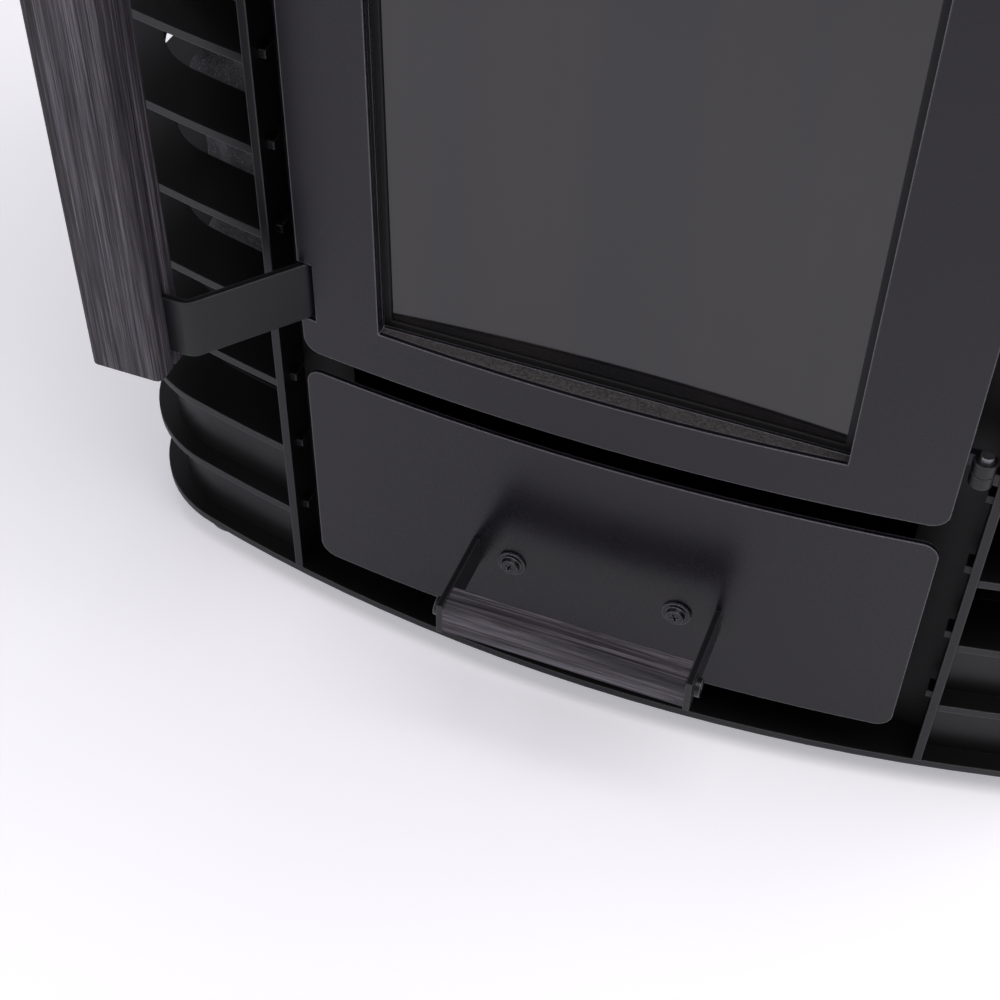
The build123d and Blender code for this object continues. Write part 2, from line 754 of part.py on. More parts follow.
# Hinges: lugs on the right flank plate with fixed pins, and lugs on the door that turn on them
hinge_zs = (door_bottom + hinge_inset, door_top - hinge_inset)
with BuildPart() as hinge_brackets:
    for z in hinge_zs:
        with BuildSketch(Plane.XY.offset(z - lug_thickness - lug_gap)):
            with Locations((hinge_x, hinge_y)):
                Circle(hinge_boss)
            with Locations(((hinge_x + flank_inner) / 2, hinge_y + hinge_boss / 2)):
                Rectangle(flank_inner - hinge_x, hinge_boss)
            with Locations((hinge_x, hinge_y)):
                Circle(hinge_pin_radius, mode=Mode.SUBTRACT)
        extrude(amount=lug_thickness)
save(hinge_brackets, "hinge_brackets")
with BuildPart() as hinge_pins:
    for z in hinge_zs:
        with BuildSketch(Plane.XY.offset(z - lug_thickness - lug_gap)):
            with Locations((hinge_x, hinge_y)):
                Circle(hinge_pin_radius)
        extrude(amount=2 * lug_thickness + lug_gap + 3)
save(hinge_pins, "hinge_pins")
with BuildPart() as hinge_lugs:
    for z in hinge_zs:
        with BuildSketch(Plane.XY.offset(z)):
            with Locations((hinge_x, hinge_y)):
                Circle(hinge_boss)
            with Locations(((hinge_x + frame_half_width) / 2, hinge_y + hinge_boss / 2 + 0.5)):
                Rectangle(hinge_x - frame_half_width, hinge_boss - 1)
            with Locations((hinge_x, hinge_y)):
                Circle(hinge_pin_radius + hinge_clearance, mode=Mode.SUBTRACT)
        extrude(amount=lug_thickness)
save(hinge_lugs, "hinge_lugs")

# Handle arms: flat bars from the frame's lip out through the door's edge, bent along the grip's groove
groove_y = front_y - grip_groove_set_back
arm_end_y = groove_y + arm_slope * (arm_bend_x - frame_half_width)
with BuildPart() as handle_arms:
    for z in arm_zs:
        with BuildSketch(Plane.XY.offset(z)) as arm_sketch:
            with BuildLine() as arm_path:
                FilletPolyline(
                    (-frame_half_width + 6, arm_end_y + 6 * arm_slope),
                    (-arm_bend_x, groove_y),
                    (-arm_bend_x - arm_leg, groove_y),
                    radius=arm_bend_radius,
                )
                offset(amount=arm_thickness / 2, side=Side.BOTH)
            make_face()
            with Locations((-frame_half_width - arm_bend_x, 0)):
                Rectangle(2 * arm_bend_x, 4 * cage_depth, mode=Mode.INTERSECT)
        extrude(amount=arm_height)
save(handle_arms, "handle_arms")

# Wooden door grip with a groove along its side for the arms
grip_bottom = door_bottom + grip_inset
grip_height = door_height - 2 * grip_inset
grip_centre_x = -grip_side_x - grip_width / 2
grip_centre_y = front_y - grip_front + grip_thickness / 2
grip_screw_zs = [z + arm_height / 2 for z in arm_zs]
grip_screw_x = -arm_bend_x - arm_leg / 2 - 4
with BuildPart() as door_grip:
    with BuildSketch(Plane.XY.offset(grip_bottom)):
        with Locations((grip_centre_x, grip_centre_y)):
            RectangleRounded(grip_width, grip_thickness, grip_round)
    extrude(amount=grip_height)
    chamfer(door_grip.edges().group_by(Axis.Z)[0], 1.2)
    chamfer(door_grip.edges().group_by(Axis.Z)[-1], 1.2)
    with BuildSketch(Plane.XY.offset(grip_bottom)):
        with Locations((-grip_side_x - grip_groove_depth / 2, groove_y)):
            Rectangle(grip_groove_depth, arm_thickness)
    extrude(amount=grip_height, mode=Mode.SUBTRACT)
    with BuildSketch(Plane.XZ.offset(-groove_y)):
        for z in grip_screw_zs:
            with Locations((grip_screw_x, z)):
                Circle(grip_screw_radius)
    extrude(amount=-grip_thickness, mode=Mode.SUBTRACT)
save(door_grip, "door_grip")

# Screws from behind that hold the grip on the arms
grip_rear_y = grip_centre_y + grip_thickness / 2
with BuildPart() as grip_screws:
    for z in grip_screw_zs:
        with BuildSketch(Plane.XZ.offset(-(groove_y + arm_thickness / 2))):
            with Locations((grip_screw_x, z)):
                Circle(grip_screw_radius)
        extrude(amount=-(grip_rear_y - groove_y - arm_thickness / 2))
        with BuildSketch(Plane.XZ.offset(-grip_rear_y)):
            with Locations((grip_screw_x, z)):
                Circle(grip_screw_head)
        extrude(amount=-2.4)
save(grip_screws, "grip_screws")

# Sauna stones: rough blocks in the space round and over the firebox
random.seed(stone_seed)
stone_inset = band_width + 1.5


def stone_cells(x_low, x_high, columns, y_low, y_high, rows, z_low, z_high, layers):
    cells = []
    size = ((x_high - x_low) / columns, (y_high - y_low) / rows, (z_high - z_low) / layers)
    for i in range(columns):
        for j in range(rows):
            for k in range(layers):
                centre = (
                    x_low + (i + 0.5) * size[0],
                    y_low + (j + 0.5) * size[1],
                    z_low + (k + 0.5) * size[2],
                )
                cells.append((centre, size))
    return cells


stone_low_y = front_y + flank_depth
stone_high_y = rear_y - stone_inset
stone_x = cage_half_width - stone_inset
cells = []
for side in (-1, 1):
    inner = side * fire_half_width
    outer = side * stone_x
    cells += stone_cells(
        min(inner, outer), max(inner, outer), 1, stone_low_y, stone_high_y, stone_side_rows,
        shelf_top, fire_top, stone_layers,
    )
cells += stone_cells(
    -fire_half_width, fire_half_width, 3, fire_back_y, stone_high_y, 1, shelf_top, fire_top, stone_layers
)
cells += stone_cells(
    -stone_x, stone_x, stone_top_columns, front_y + stone_inset, stone_high_y, stone_top_rows,
    fire_top, top_plate_top, stone_top_layers,
)
cells = [
    (centre, size)
    for centre, size in cells
    if centre[2] < fire_top
    or max(abs(centre[0]) - size[0] / 2, 0) ** 2 + max(abs(centre[1] - flue_y) - size[1] / 2, 0) ** 2
    > (flue_radius + stone_gap) ** 2
]


def rough_stone(centre, size):
    # One block with broken edges, turned a little in its cell
    shrink = random.uniform(0.86, 0.9)
    lengths = [side * shrink - stone_gap for side in size]
    with BuildPart() as block:
        Box(*lengths)
        chamfer(block.edges(), min(lengths) * random.uniform(0.16, 0.22))
    tilt = random.uniform(-3, 3)
    return block.part.moved(Location(centre, (tilt, -tilt, random.uniform(-4, 4))))


stones = [rough_stone(centre, size) for centre, size in cells]
with BuildPart() as sauna_stones:
    add(stones)
    with BuildSketch(Plane.XY.offset(shelf_top)):
        add(cage_face(stone_inset))
    extrude(amount=top_plate_top - shelf_top + plate_pitch, mode=Mode.INTERSECT)
save(sauna_stones, "sauna_stones")
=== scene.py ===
import bpy
import math
from mathutils import Matrix, Vector


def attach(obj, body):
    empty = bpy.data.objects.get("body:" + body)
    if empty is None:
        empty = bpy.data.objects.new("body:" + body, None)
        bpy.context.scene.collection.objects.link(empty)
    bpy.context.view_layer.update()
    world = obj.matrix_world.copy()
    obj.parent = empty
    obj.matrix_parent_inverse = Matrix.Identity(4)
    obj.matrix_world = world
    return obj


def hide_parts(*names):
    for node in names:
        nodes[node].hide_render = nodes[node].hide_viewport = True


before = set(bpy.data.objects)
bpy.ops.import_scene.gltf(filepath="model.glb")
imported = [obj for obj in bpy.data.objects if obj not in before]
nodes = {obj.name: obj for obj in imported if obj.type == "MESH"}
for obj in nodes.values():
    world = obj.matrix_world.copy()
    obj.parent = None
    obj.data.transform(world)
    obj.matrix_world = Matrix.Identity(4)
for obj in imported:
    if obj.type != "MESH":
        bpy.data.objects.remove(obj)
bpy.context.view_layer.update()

# small helpers


def hexColor(code):  # "3c383c" as a linear colour
    parts = [int(code[i : i + 2], 16) / 255 for i in (0, 2, 4)]
    return tuple(c / 12.92 if c <= 0.04045 else ((c + 0.055) / 1.055) ** 2.4 for c in parts) + (1.0,)


class Wire:  # one socket, so that shader maths reads as plain sums
    def __init__(self, tree, socket):
        self.tree, self.socket = tree, socket

    def maths(self, operation, first, second=0.0):
        return self.tree.wire("ShaderNodeMath", {"operation": operation}, {0: first, 1: second})

    def __add__(self, other):
        return self.maths("ADD", self, other)

    def __radd__(self, other):
        return self.maths("ADD", other, self)

    def __sub__(self, other):
        return self.maths("SUBTRACT", self, other)

    def __rsub__(self, other):
        return self.maths("SUBTRACT", other, self)

    def __mul__(self, other):
        return self.maths("MULTIPLY", self, other)

    def __rmul__(self, other):
        return self.maths("MULTIPLY", other, self)

    def above(self, edge):
        return self.maths("GREATER_THAN", self, edge)


class Tree:  # one way to add any node, in a shader or in a geometry tree
    def __init__(self, tree):
        self.tree = tree

    def node(self, kind, settings=None, inputs=None):
        made = self.tree.nodes.new(kind)
        for key, value in (settings or {}).items():
            if key == "stops":
                ramp = made.color_ramp
                while len(ramp.elements) < len(value):
                    ramp.elements.new(0.5)
                for element, (place, color) in zip(ramp.elements, value):
                    element.position, element.color = place, color
            else:
                setattr(made, key, value)
        for key, value in (inputs or {}).items():
            if isinstance(value, Wire):
                self.tree.links.new(value.socket, made.inputs[key])
            else:
                made.inputs[key].default_value = value
        return made

    def wire(self, kind, settings=None, inputs=None, output=0):
        return Wire(self, self.node(kind, settings, inputs).outputs[output])


class Finish(Tree):  # a procedural material on Object coordinates
    def __init__(self, name):
        self.material = bpy.data.materials.new(name)
        self.material.use_nodes = True
        super().__init__(self.material.node_tree)
        self.tree.nodes.clear()
        self.place = self.wire("ShaderNodeTexCoord", output="Object")

    def stretched(self, scale, turn=(0.0, 0.0, 0.0)):
        return self.wire("ShaderNodeMapping", {}, {"Vector": self.place, "Scale": scale, "Rotation": turn})

    def noise(self, scale, detail=2.0, roughness=0.5, place=None, distortion=0.0):
        inputs = {"Vector": place or self.place, "Scale": scale, "Detail": detail}
        inputs.update({"Roughness": roughness, "Distortion": distortion})
        return self.wire("ShaderNodeTexNoise", {}, inputs, "Fac")

    def ramp(self, amount, stops):
        return self.wire("ShaderNodeValToRGB", {"stops": stops}, {"Fac": amount}, "Color")

    def blend(self, amount, first, second):
        settings = {"data_type": "RGBA", "blend_type": "MIX", "clamp_factor": True}
        return self.wire("ShaderNodeMix", settings, {0: amount, 6: first, 7: second}, 2)

    def softEdge(self, radius):
        return self.wire("ShaderNodeBevel", {"samples": 6}, {"Radius": radius})

    def edgeMask(self, soft, gain):
        flat = self.wire("ShaderNodeNewGeometry", output="Normal")
        facing = self.wire("ShaderNodeVectorMath", {"operation": "DOT_PRODUCT"}, {0: soft, 1: flat}, "Value")
        return self.wire("ShaderNodeMath", {"operation": "MULTIPLY", "use_clamp": True}, {0: 1 - facing, 1: gain})

    def bump(self, height, distance, strength=1.0, normal=None):
        inputs = {"Height": height, "Distance": distance, "Strength": strength}
        if normal:
            inputs["Normal"] = normal
        return self.wire("ShaderNodeBump", {}, inputs)

    def close(self, **sockets):
        inputs = {key.replace("_", " "): value for key, value in sockets.items()}
        shader = self.wire("ShaderNodeBsdfPrincipled", {}, inputs)
        self.node("ShaderNodeOutputMaterial", {}, {"Surface": shader})
        return self.material


def dress(material, *names):  # gives CAD nodes their finish
    for name in names:
        slots = nodes[name].data.materials
        slots.clear()
        slots.append(material)


# camera: the photograph's view from above

view = {
    "place": (0.14839, -0.73662, 0.72062),
    "azimuth": -20.63,
    "tilt": 46.74,
    "roll": 1.14,
    "focal": 1766.56,  # in pixels of a frame 1000 wide
}


def makeCamera():
    azimuth, tilt, roll = (math.radians(view[key]) for key in ("azimuth", "tilt", "roll"))
    ahead = Vector((math.sin(azimuth) * math.cos(tilt), math.cos(azimuth) * math.cos(tilt), -math.sin(tilt)))
    level = Vector((math.cos(azimuth), -math.sin(azimuth), 0))
    upright = level.cross(ahead)
    right = math.cos(roll) * level + math.sin(roll) * upright
    up = -math.sin(roll) * level + math.cos(roll) * upright
    data = bpy.data.cameras.new("camera")
    data.sensor_width = 36.0
    data.lens = 36.0 * view["focal"] / 1000
    data.clip_start = 0.01
    camera = bpy.data.objects.new("camera", data)
    bpy.context.scene.collection.objects.link(camera)
    turn = Matrix((right, up, -ahead)).transposed().to_4x4()
    camera.matrix_world = Matrix.Translation(view["place"]) @ turn
    bpy.context.scene.camera = camera


makeCamera()
print("camera placed")

# finishes


def shade(code, amount):
    color = hexColor(code)
    return tuple(min(1.0, c * amount) for c in color[:3]) + (1.0,)


# edge: the colour of the painted highlight along each part's edges
paintLook = {
    "panel": {"color": "100d14", "edge": "b5b2ba", "roughness": 0.28, "grain": 0.30},
    "cage": {"color": "070708", "edge": "66646b", "roughness": 0.36, "grain": 0.4},
    "inner": {"color": "050506", "edge": "161517", "roughness": 0.60, "grain": 0.9},
    "arm": {"color": "100f12", "edge": "5a585f", "roughness": 0.36, "grain": 0.6},
    "screw": {"color": "19181c", "edge": "a3a1a8", "roughness": 0.24, "grain": 0.2},
}
paintSkin = {
    "edgeRadius": 0.0011,
    "edgeGain": 3.5,
    "cloudScale": 9.0,
    "peelScale": 1500.0,
    "peelDepth": 0.00004,
    "speckScale": 420.0,
    "speckEdge": 0.69,  # higher is fewer specks
    "highlightPatchesScale": 260.0,
    "specular": 0.5,
}


def makePaint(name, look):
    # Baked satin paint: fine orange peel and faint wiped patches, with a patchy painted highlight along the edges
    paint = Finish(name)
    soft = paint.softEdge(paintSkin["edgeRadius"])
    edge = paint.edgeMask(soft, paintSkin["edgeGain"])
    cloud = paint.noise(paintSkin["cloudScale"], 3.0, 0.6)
    peel = paint.noise(paintSkin["peelScale"], 2.0, 0.6)
    speck = paint.noise(paintSkin["speckScale"], 1.0).above(paintSkin["speckEdge"])
    # patchy strength of the painted edge highlight
    highlightPatches = 0.35 + 0.5 * paint.noise(paintSkin["highlightPatchesScale"], 3.0)
    base = paint.ramp(cloud, [(0.3, shade(look["color"], 0.88)), (0.7, shade(look["color"], 1.12))])
    return paint.close(
        Base_Color=paint.blend(edge * highlightPatches, base, hexColor(look["edge"])),
        Roughness=look["roughness"] + 0.10 * (cloud - 0.5) + 0.08 * (peel - 0.5),
        Specular_IOR_Level=paintSkin["specular"],
        Normal=paint.bump(peel + 0.6 * speck, paintSkin["peelDepth"] * look["grain"], 1.0, soft),
    )


woodLook = {
    "dark": "232025",
    "middle": "48444a",
    "pale": "7a757d",
    "pore": "0b0a0c",
    "roughness": 0.60,
    "specular": 0.35,
    "streakScale": 820.0,
    "bandScale": 150.0,
    "bandStretch": 0.035,  # how much slower the pattern runs along the grain
    "poreScale": 1900.0,
    "fibreStretch": 0.012,
    "poreEdge": 0.57,
    "edgeRadius": 0.0008,
    "reliefDepth": 0.00035,
}


def makeWood(name, grainAxis):
    # Dark stained softwood: long streaks, fine open pores and slow waves along one axis
    wood = Finish(name)
    slow = tuple(woodLook["bandStretch"] if axis == grainAxis else 1.0 for axis in "xyz")
    fine = tuple(woodLook["fibreStretch"] if axis == grainAxis else 1.0 for axis in "xyz")
    along = wood.stretched(slow)
    fibres = wood.stretched(fine)
    streaks = wood.noise(woodLook["streakScale"], 4.0, 0.7, fibres, 0.1)
    bands = wood.noise(woodLook["bandScale"], 3.0, 0.6, along, 0.5)
    pores = wood.noise(woodLook["poreScale"], 3.0, 0.65, fibres)
    poreMask = pores.above(woodLook["poreEdge"])
    places = ((0.38, "dark"), (0.5, "middle"), (0.64, "pale"))
    stops = [(place, hexColor(woodLook[tone])) for place, tone in places]
    grain = wood.ramp(streaks * 0.6 + bands * 0.4, stops)
    height = streaks * 0.8 + pores * 0.5 - poreMask * 0.5
    soft = wood.softEdge(woodLook["edgeRadius"])
    return wood.close(
        Base_Color=wood.blend(poreMask * 0.55, grain, hexColor(woodLook["pore"])),
        Roughness=woodLook["roughness"] + 0.16 * (0.5 - streaks),
        Specular_IOR_Level=woodLook["specular"],
        Normal=wood.bump(height, woodLook["reliefDepth"], 1.0, soft),
    )


glassLook = {
    "dark": "131215",
    "warm": "1e1a19",
    "dust": "8a868c",
    "hazeScale": 42.0,
    "hazeStretch": (1.0, 1.0, 0.10),
    "hazeLean": (0.0, 0.12, 0.0),
    "dustScale": 900.0,
    "dustEdge": 0.76,
    "alpha": 0.96,
    "coat": 0.6,
    "coatRoughness": 0.03,
    "specular": 0.6,
}


def makeGlass():
    # Heat-proof glass in front of a dark firebox, with a faint upright haze on it
    glass = Finish("darkGlass")
    upright = glass.stretched(glassLook["hazeStretch"], glassLook["hazeLean"])
    haze = glass.noise(glassLook["hazeScale"], 3.0, 0.55, upright, 0.4)
    dust = glass.noise(glassLook["dustScale"], 1.0).above(glassLook["dustEdge"])
    tint = glass.ramp(haze, [(0.40, hexColor(glassLook["dark"])), (0.66, hexColor(glassLook["warm"]))])
    return glass.close(
        Base_Color=glass.blend(dust * 0.06, tint, hexColor(glassLook["dust"])),
        Roughness=0.05 + 0.06 * haze,
        Specular_IOR_Level=glassLook["specular"],
        Alpha=glassLook["alpha"],
        Coat_Weight=glassLook["coat"],
        Coat_Roughness=glassLook["coatRoughness"],
    )


rockLook = {
    "dark": "262628",
    "middle": "4a494c",
    "pale": "737175",
    "crystal": "8d8b90",
    "mottleScale": 55.0,
    "gritScale": 620.0,
    "crystalScale": 950.0,
    "crystalEdge": 0.66,
    "skinDepth": 0.0014,
}


def makeStone():
    # Split rock: grey mottling, pale crystals and a rough broken skin
    stone = Finish("saunaRock")
    mottle = stone.noise(rockLook["mottleScale"], 5.0, 0.65)
    grit = stone.noise(rockLook["gritScale"], 4.0, 0.7)
    crystal = stone.noise(rockLook["crystalScale"], 1.0).above(rockLook["crystalEdge"])
    places = ((0.3, "dark"), (0.52, "middle"), (0.72, "pale"))
    stops = [(place, hexColor(rockLook[tone])) for place, tone in places]
    body = stone.ramp(mottle * 0.55 + grit * 0.45, stops)
    return stone.close(
        Base_Color=stone.blend(crystal * 0.5, body, hexColor(rockLook["crystal"])),
        Roughness=0.8 - 0.25 * crystal,
        Normal=stone.bump(grit + 0.5 * mottle, rockLook["skinDepth"]),
    )


zincLook = {
    "dull": "77797d",
    "bright": "a3a5a9",
    "spangleScale": 300.0,
    "tarnishScale": 40.0,
    "skinScale": 900.0,
    "skinDepth": 0.00003,
    "edgeRadius": 0.0005,
}


def makeZinc():
    # Zinc plate: cool grey with soft spangle and faint tarnish
    zinc = Finish("zincPlate")
    spangle = zinc.noise(zincLook["spangleScale"], 2.0)
    tarnish = zinc.noise(zincLook["tarnishScale"], 3.0, 0.6)
    soft = zinc.softEdge(zincLook["edgeRadius"])
    stops = [(0.35, hexColor(zincLook["dull"])), (0.7, hexColor(zincLook["bright"]))]
    return zinc.close(
        Base_Color=zinc.ramp(tarnish, stops),
        Metallic=1.0,
        Roughness=0.32 + 0.16 * spangle,
        Normal=zinc.bump(zinc.noise(zincLook["skinScale"]), zincLook["skinDepth"], 1.0, soft),
    )


clayLook = {
    "dark": "8f7f66",
    "pale": "c2b08f",
    "pit": "57493a",
    "sandScale": 700.0,
    "cloudScale": 18.0,
    "pitScale": 260.0,
    "pitEdge": 0.68,
    "skinDepth": 0.0006,
}


def makeClay():
    # Pressed fire clay: sandy colour in slow clouds, with small dark pits
    clay = Finish("fireClay")
    sand = clay.noise(clayLook["sandScale"], 3.0, 0.7)
    cloud = clay.noise(clayLook["cloudScale"], 3.0, 0.6)
    pits = clay.noise(clayLook["pitScale"], 2.0).above(clayLook["pitEdge"])
    stops = [(0.35, hexColor(clayLook["dark"])), (0.65, hexColor(clayLook["pale"]))]
    base = clay.ramp(sand * 0.4 + cloud * 0.6, stops)
    return clay.close(
        Base_Color=clay.blend(pits * 0.6, base, hexColor(clayLook["pit"])),
        Roughness=0.9 - 0.1 * sand,
        Normal=clay.bump(sand - pits, clayLook["skinDepth"]),
    )


ironLook = {
    "dark": "1f1e1e",
    "pale": "3b3938",
    "rust": "4a3527",
    "sandScale": 520.0,
    "rustScale": 35.0,
    "metal": 0.6,
    "skinDepth": 0.0005,
    "edgeRadius": 0.001,
}


def makeIron():
    # Sand-cast iron of the grate, with a little rust
    iron = Finish("castIron")
    sand = iron.noise(ironLook["sandScale"], 4.0, 0.7)
    rust = iron.noise(ironLook["rustScale"], 4.0, 0.65)
    base = iron.ramp(sand, [(0.3, hexColor(ironLook["dark"])), (0.7, hexColor(ironLook["pale"]))])
    soft = iron.softEdge(ironLook["edgeRadius"])
    return iron.close(
        Base_Color=iron.blend((rust - 0.55) * 3.0, base, hexColor(ironLook["rust"])),
        Metallic=ironLook["metal"],
        Roughness=0.62 + 0.2 * rust,
        Normal=iron.bump(sand, ironLook["skinDepth"], 1.0, soft),
    )


ropeLook = {
    "dark": "101011",
    "pale": "3c3c3f",
    "braidScale": 170.0,
    "fluffScale": 1400.0,
    "braidDepth": 0.0006,
}


def makeRope():
    # Glass fibre rope: a tight diagonal braid
    rope = Finish("sealRope")
    wave = {"wave_type": "BANDS", "bands_direction": "DIAGONAL"}
    mirrored = rope.stretched((1.0, 1.0, -1.0))
    strands = [
        rope.wire("ShaderNodeTexWave", wave, {"Vector": place, "Scale": ropeLook["braidScale"]}, "Fac")
        for place in (rope.place, mirrored)
    ]
    braid = strands[0] * strands[1]
    fluff = rope.noise(ropeLook["fluffScale"], 2.0)
    stops = [(0.2, hexColor(ropeLook["dark"])), (0.8, hexColor(ropeLook["pale"]))]
    return rope.close(
        Base_Color=rope.ramp(braid * 0.7 + fluff * 0.3, stops),
        Roughness=0.85 + 0.1 * fluff,
        Normal=rope.bump(braid, ropeLook["braidDepth"]),
    )


ledgeLook = {
    "dark": "2a2829",
    "pale": "5d5859",
    "spark": "8b878c",
    "side": "050506",  # painted shade on the opening's upright sides and top
    "lumpScale": 760.0,
    "sparkScale": 1500.0,
    "sparkEdge": 0.66,
    "edgeRadius": 0.0006,
    "edgeGain": 4.0,
    "skinDepth": 0.0007,
}


def makeRoughLedge():
    # The window opening's lining: coarse powder coat with tiny bright grains and a painted highlight on its edges
    # where it faces up, and painted shade on its upright sides and top
    ledge = Finish("roughCoat")
    lump = ledge.noise(ledgeLook["lumpScale"], 4.0, 0.75)
    spark = ledge.noise(ledgeLook["sparkScale"], 1.0).above(ledgeLook["sparkEdge"])
    soft = ledge.softEdge(ledgeLook["edgeRadius"])
    edge = ledge.edgeMask(soft, ledgeLook["edgeGain"])
    base = ledge.ramp(lump, [(0.35, hexColor(ledgeLook["dark"])), (0.7, hexColor(ledgeLook["pale"]))])
    # the edges get a painted highlight, mixed in with the bright grains
    coat = ledge.blend(spark * 0.5 + edge * 0.5, base, hexColor(ledgeLook["spark"]))
    facing = ledge.wire("ShaderNodeNewGeometry", output="Normal")
    upward = ledge.wire("ShaderNodeSeparateXYZ", {}, {0: facing}, "Z").above(0.3)
    return ledge.close(
        # faces that don't point up take the painted shade colour
        Base_Color=ledge.blend(upward, hexColor(ledgeLook["side"]), coat),
        Roughness=0.55 - 0.2 * spark,
        Normal=ledge.bump(lump, ledgeLook["skinDepth"], 1.0, soft),
    )


panelPaint = makePaint("panelPaint", paintLook["panel"])
cagePaint = makePaint("cagePaint", paintLook["cage"])
innerPaint = makePaint("innerPaint", paintLook["inner"])
armPaint = makePaint("armPaint", paintLook["arm"])
screwPaint = makePaint("screwPaint", paintLook["screw"])
uprightWood = makeWood("uprightWood", "z")
levelWood = makeWood("levelWood", "x")
darkGlass = makeGlass()
saunaRock = makeStone()
zincPlate = makeZinc()
fireClay = makeClay()
castIron = makeIron()
sealRope = makeRope()
roughCoat = makeRoughLedge()

cageNames = [name for name in nodes if name.startswith("cage_")]
feetNames = [name for name in nodes if name.startswith("foot_")]
dress(cagePaint, "base_plate", "flank_left", "flank_right", "lower_jacket", *cageNames)
dress(panelPaint, "door_sheet", "drawer_front", "door_frame")
dress(armPaint, "handle_arms", "drawer_bracket", "hinge_brackets", "hinge_lugs")
dress(innerPaint, "face_plate", "ash_box", "firebox_floor", "firebox_shell", "flue_tube", "stone_shelf")
dress(innerPaint, "drawer_tray", "glass_clips")
dress(roughCoat, "door_reveal")
dress(screwPaint, "panel_screws", "bar_bolt")
dress(zincPlate, "panel_nuts", "clip_screws", "grip_screws", "hinge_pins", *feetNames)
dress(fireClay, "brick_left", "brick_right", "brick_rear", "baffle")
dress(castIron, "grate")
dress(innerPaint, "glass_seal")
dress(sealRope, "door_seal")
dress(uprightWood, "door_grip")
dress(levelWood, "drawer_bar")
dress(darkGlass, "door_glass")
print("finishes on", len(nodes), "nodes")

# sauna stones: one rough rock for each block of the CAD

rocks = {
    "roundness": 1.19,  # ball's width over the block's width
    "lumps": 0.44,  # how deep the big lumps are, in parts of a radius
    "chips": 0.0055,  # metres
    "lumpScale": 24.0,
    "chipScale": 95.0,
    "fineness": 4,
    "turn": (0.12, 0.12, 0.25),  # most turn about each axis, in radians
    "seed": 11,
}


def looseBlocks(name):
    # The middle and size of each loose shell in a CAD node's mesh
    mesh = nodes[name].data
    places = {}
    for vertex in mesh.vertices:
        places.setdefault(tuple(round(c, 6) for c in vertex.co), len(places))
    index = [places[tuple(round(c, 6) for c in vertex.co)] for vertex in mesh.vertices]
    parent = list(range(len(places)))

    def root(i):
        while parent[i] != i:
            parent[i] = parent[parent[i]]
            i = parent[i]
        return i

    for polygon in mesh.polygons:
        first = root(index[polygon.vertices[0]])
        for v in polygon.vertices[1:]:
            parent[root(index[v])] = first
    groups = {}
    for place, i in places.items():
        groups.setdefault(root(i), []).append(Vector(place))
    blocks = []
    for points in groups.values():
        low = Vector([min(p[k] for p in points) for k in range(3)])
        high = Vector([max(p[k] for p in points) for k in range(3)])
        blocks.append(((low + high) / 2, high - low))
    return blocks


def makeRockTree():
    group = bpy.data.node_groups.new("rockTree", "GeometryNodeTree")
    sockets = {"Blocks": "Geometry", "Lump Depth": "Float", "Chip Depth": "Float", "Lump Scale": "Float"}
    sockets.update({"Chip Scale": "Float", "Fineness": "Int", "Seed": "Int"})
    for label, kind in sockets.items():
        group.interface.new_socket(label, in_out="INPUT", socket_type="NodeSocket" + kind)
    group.interface.new_socket("Rocks", in_out="OUTPUT", socket_type="NodeSocketGeometry")
    tree = Tree(group)
    given = tree.node("NodeGroupInput")
    take = {socket.name: Wire(tree, socket) for socket in given.outputs if socket.name}
    size = tree.wire("GeometryNodeInputNamedAttribute", {"data_type": "FLOAT_VECTOR"}, {"Name": "blockSize"})
    ball = tree.wire("GeometryNodeMeshIcoSphere", {}, {"Radius": 0.5, "Subdivisions": take["Fineness"]})
    turn = tree.wire(
        "FunctionNodeRandomValue",
        {"data_type": "FLOAT_VECTOR"},
        {0: tuple(-most for most in rocks["turn"]), 1: rocks["turn"], "Seed": take["Seed"]},
    )
    placed = tree.wire(
        "GeometryNodeInstanceOnPoints",
        {},
        {"Points": take["Blocks"], "Instance": ball, "Rotation": turn, "Scale": size},
    )
    solid = tree.wire("GeometryNodeRealizeInstances", {}, {"Geometry": placed})
    normal = tree.wire("GeometryNodeInputNormal")
    lump = tree.wire("ShaderNodeTexNoise", {}, {"Scale": take["Lump Scale"], "Detail": 1.0}, "Fac")
    chip = tree.wire("ShaderNodeTexNoise", {}, {"Scale": take["Chip Scale"], "Detail": 3.0}, "Fac")
    # The levels above the noise's middle keep most of the skin inside the ball
    depth = (lump - 0.62) * take["Lump Depth"] + (chip - 0.6) * take["Chip Depth"]
    push = tree.wire("ShaderNodeVectorMath", {"operation": "SCALE"}, {0: normal, 3: depth})
    moved = tree.wire("GeometryNodeSetPosition", {}, {"Geometry": solid, "Offset": push})
    smooth = tree.wire("GeometryNodeSetShadeSmooth", {}, {0: moved, 2: True})
    final = tree.wire("GeometryNodeSetMaterial", {}, {"Geometry": smooth, "Material": saunaRock})
    tree.node("NodeGroupOutput", {}, {0: final})
    return group


def runTree(name, mesh, group, values):
    # Lets the tree build on the mesh, and keeps the result as a plain mesh
    start = bpy.data.objects.new(name, mesh)
    bpy.context.scene.collection.objects.link(start)
    modifier = start.modifiers.new("build", "NODES")
    modifier.node_group = group
    for item in group.interface.items_tree:
        if item.in_out == "INPUT" and item.name in values:
            modifier[item.identifier] = values[item.name]
    ready = start.evaluated_get(bpy.context.evaluated_depsgraph_get())
    result = bpy.data.meshes.new_from_object(ready)
    start.modifiers.remove(modifier)
    start.data = result
    result.name = name
    return start


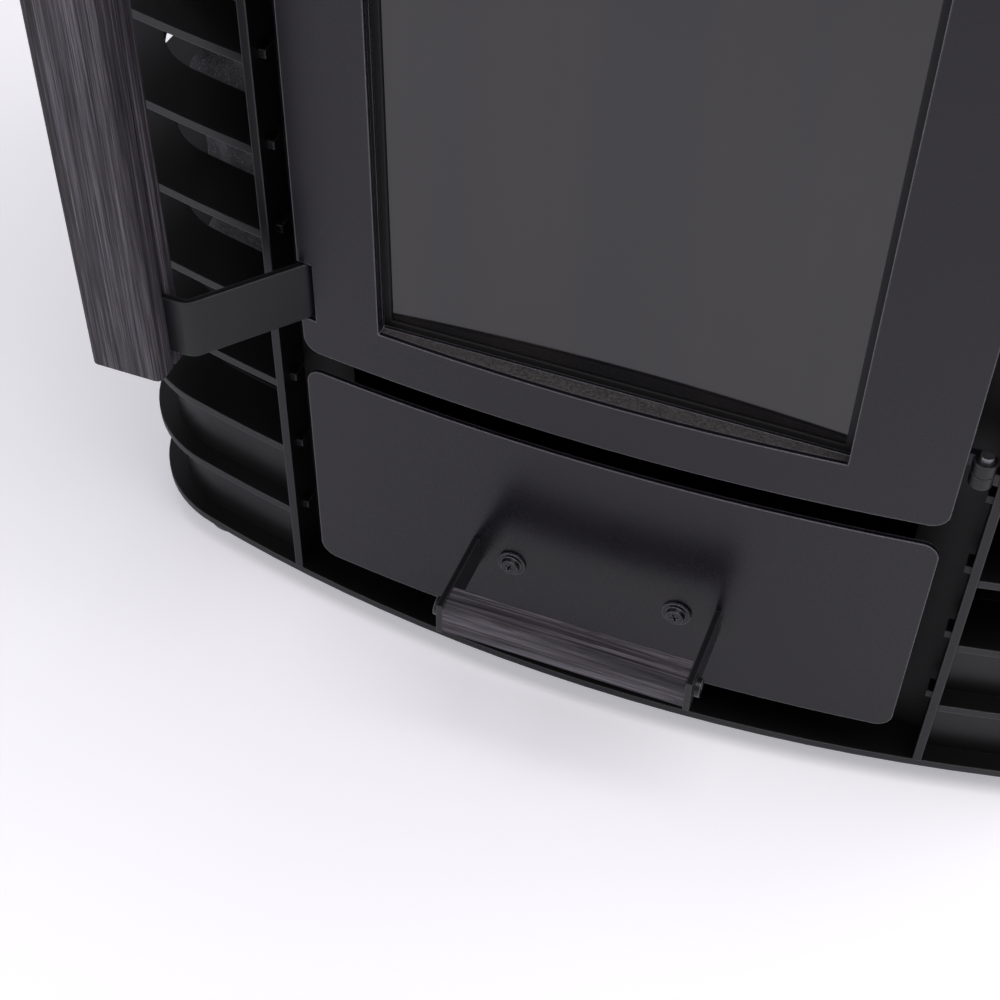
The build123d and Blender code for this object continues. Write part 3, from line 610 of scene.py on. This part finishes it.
def makeRocks():
    blocks = looseBlocks("sauna_stones")
    points = bpy.data.meshes.new("rockPoints")
    points.from_pydata([tuple(middle) for middle, size in blocks], [], [])
    sizes = points.attributes.new("blockSize", "FLOAT_VECTOR", "POINT")
    for item, (middle, size) in zip(sizes.data, blocks):
        item.vector = size * rocks["roundness"]
    mean = sum(sum(size) / 3 for middle, size in blocks) / len(blocks)
    values = {
        "Lump Depth": rocks["lumps"] * mean,
        "Chip Depth": rocks["chips"],
        "Lump Scale": rocks["lumpScale"],
        "Chip Scale": rocks["chipScale"],
        "Fineness": rocks["fineness"],
        "Seed": rocks["seed"],
    }
    piece = runTree("saunaRocks", points, makeRockTree(), values)
    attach(piece, "stove")
    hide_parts("sauna_stones")
    return len(blocks), len(piece.data.polygons)


print("rocks and faces:", makeRocks())

# floor, light and world

studio = {
    "floorReach": 6.0,
    "floorDark": "f1eff6",
    "floorPale": "f6f4fa",
    "floorGlow": (0.98, 0.97, 1.0, 1),
    "floorLift": 0.33,  # white of the floor that only the camera sees
    "worldColor": (0.93, 0.92, 1.0, 1),
    "worldLevel": 0.30,
}
lamps = {
    "keyLamp": {
        "place": (0.9, -0.1, 2.7),
        "aim": (0.0, -0.2, 0.2),
        "size": (2.6, 2.6),
        "power": 66.0,
        "color": (1.0, 0.98, 0.96),
    },
    "fillLamp": {
        "place": (-1.8, -1.9, 1.3),
        "aim": (0.0, -0.2, 0.3),
        "size": (1.6, 1.6),
        "power": 14.0,
        "color": (0.95, 0.96, 1.0),
    },
}


def makeFloor():
    mesh = bpy.data.meshes.new("floor")
    far = studio["floorReach"]
    mesh.from_pydata([(-far, -far, 0), (far, -far, 0), (far, far, 0), (-far, far, 0)], [], [(0, 1, 2, 3)])
    floor = bpy.data.objects.new("floor", mesh)
    bpy.context.scene.collection.objects.link(floor)
    look = Finish("paleFloor")
    stops = [(0.2, hexColor(studio["floorDark"])), (0.8, hexColor(studio["floorPale"]))]
    seen = look.wire("ShaderNodeLightPath", output="Is Camera Ray") * studio["floorLift"]
    made = look.close(
        Base_Color=look.ramp(look.noise(3.0, 2.0), stops),
        Roughness=0.75,
        Specular_IOR_Level=0.2,
        Emission_Color=look.blend(seen, (0, 0, 0, 1), studio["floorGlow"]),
        Emission_Strength=1.0,
    )
    mesh.materials.append(made)


def makeLamp(name, look):
    data = bpy.data.lights.new(name, "AREA")
    data.shape = "RECTANGLE"
    data.size, data.size_y = look["size"]
    data.energy = look["power"]
    data.color = look["color"]
    lamp = bpy.data.objects.new(name, data)
    bpy.context.scene.collection.objects.link(lamp)
    lamp.location = look["place"]
    lamp.rotation_euler = (Vector(look["aim"]) - Vector(look["place"])).to_track_quat("-Z", "Y").to_euler()


def makeWorld():
    world = bpy.data.worlds.new("studio")
    bpy.context.scene.world = world
    world.use_nodes = True
    world.node_tree.nodes.clear()
    tree = Tree(world.node_tree)
    path = tree.wire("ShaderNodeLightPath", output="Is Camera Ray")
    light = {"Color": studio["worldColor"], "Strength": studio["worldLevel"]}
    dim = tree.wire("ShaderNodeBackground", {}, light)
    white = tree.wire("ShaderNodeBackground", {}, {"Color": (1, 1, 1, 1), "Strength": 1.0})
    both = tree.wire("ShaderNodeMixShader", {}, {0: path, 1: dim, 2: white})
    tree.node("ShaderNodeOutputWorld", {}, {"Surface": both})


makeFloor()
for lampName, lampLook in lamps.items():
    makeLamp(lampName, lampLook)
makeWorld()
bpy.context.scene.view_settings.view_transform = "Standard"
print("studio lit")
